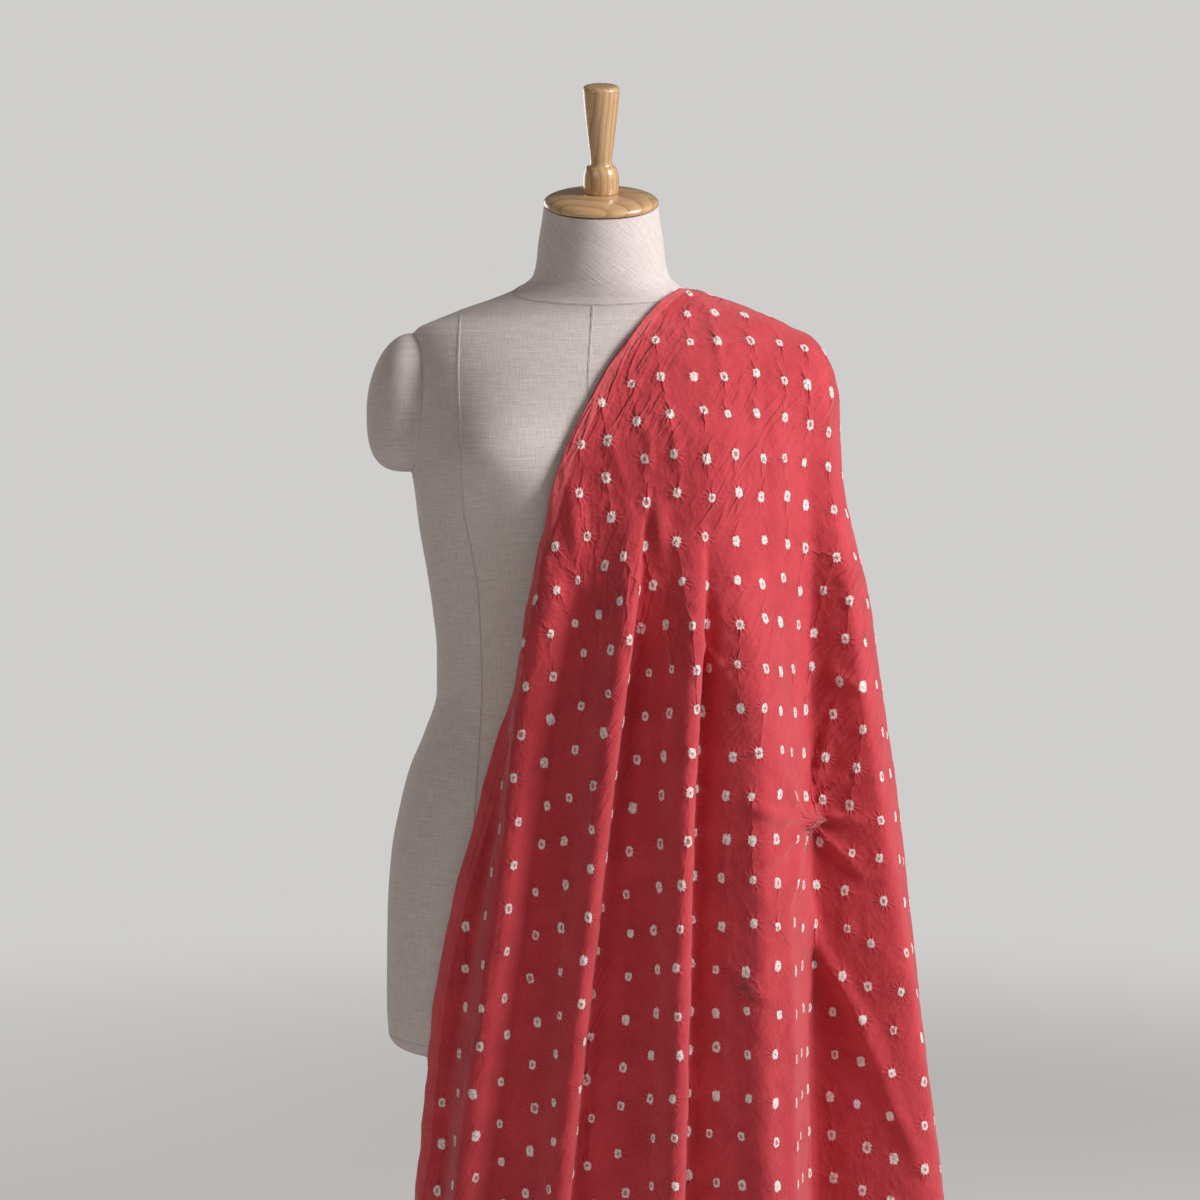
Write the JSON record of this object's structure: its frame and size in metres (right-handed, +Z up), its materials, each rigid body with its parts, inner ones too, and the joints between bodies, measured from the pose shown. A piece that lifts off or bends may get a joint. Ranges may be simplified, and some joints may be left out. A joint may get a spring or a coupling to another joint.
{
  "type": "tie-dyed cloth on a dress form",
  "caption": "Tie-dyed dotted cotton cloth draped over one shoulder of a linen dress form on a stand, hanging in folds at the front, the side and the back.",
  "frame": {"origin": "centre of the stand base's underside, on the floor below the pole", "axes": "+Z up along the pole, -Y towards the front of the form, +X towards the form's left shoulder, which carries the cloth"},
  "size_m": [0.5552, 0.3934, 1.3275],
  "materials": {
    "dyed_cotton": "thin matt cotton, coral red with small tied white dots",
    "linen": "natural linen cover with a slubby weave",
    "light_wood": "clear gloss varnish",
    "pole_steel": "satin"
  },
  "bodies": {
    "root": {"bandhani_cloth": "dyed_cotton", "form_torso": "linen", "arm_cap_left": "linen", "arm_cap_right": "linen", "neck_cap": "light_wood", "finial": "light_wood", "stand_pole": "pole_steel", "stand_base": "light_wood"}
  },
  "joints": []
}
